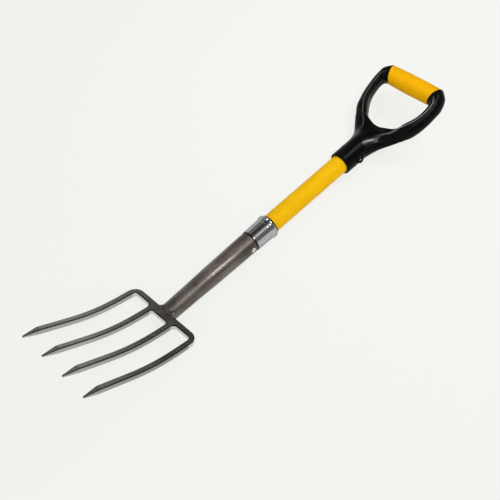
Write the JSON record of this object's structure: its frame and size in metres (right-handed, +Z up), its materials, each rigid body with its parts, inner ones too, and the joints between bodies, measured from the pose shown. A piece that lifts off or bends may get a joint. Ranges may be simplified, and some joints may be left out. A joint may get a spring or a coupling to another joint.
{
  "type": "border fork",
  "caption": "Short garden fork with curved bevel-pointed tines on a forged yoke, a drawn steel socket, a straight jacketed shaft and a D-shaped handle.",
  "frame": {"origin": "on the ground the fork lies on, under the middle of its overall box", "axes": "+X from the tines towards the D-handle, +Z straight up, +Y to the left of someone who looks from the tines to the handle; the fork lies on its back on its weld and its flange, rolled onto the +Y shoulder of its head as it comes to rest, with its hollow front up"},
  "size_m": [0.6966, 0.1462, 0.1005],
  "materials": {
    "forged_steel": "dark forged steel under clear lacquer",
    "tube_steel": "brownish dark steel tube under clear lacquer",
    "plated_steel": "polished plating",
    "bright_steel": "bright zinc-plated rivet",
    "fibreglass": "bare glass-fibre rod",
    "yellow_plastic": "smooth satin yellow jacket, unprinted",
    "grip_plastic": "soft matt orange-yellow sleeve",
    "black_plastic": "satin black moulding"
  },
  "bodies": {
    "root": {"tine_head": "forged_steel", "socket_weld": "tube_steel", "socket_tube": "tube_steel", "ferrule": "plated_steel", "shaft_core": "fibreglass", "shaft_jacket": "yellow_plastic", "socket_rivet": "bright_steel", "handle_rivet": "bright_steel", "handle_frame": "black_plastic", "grip_sleeve": "grip_plastic"}
  },
  "joints": []
}
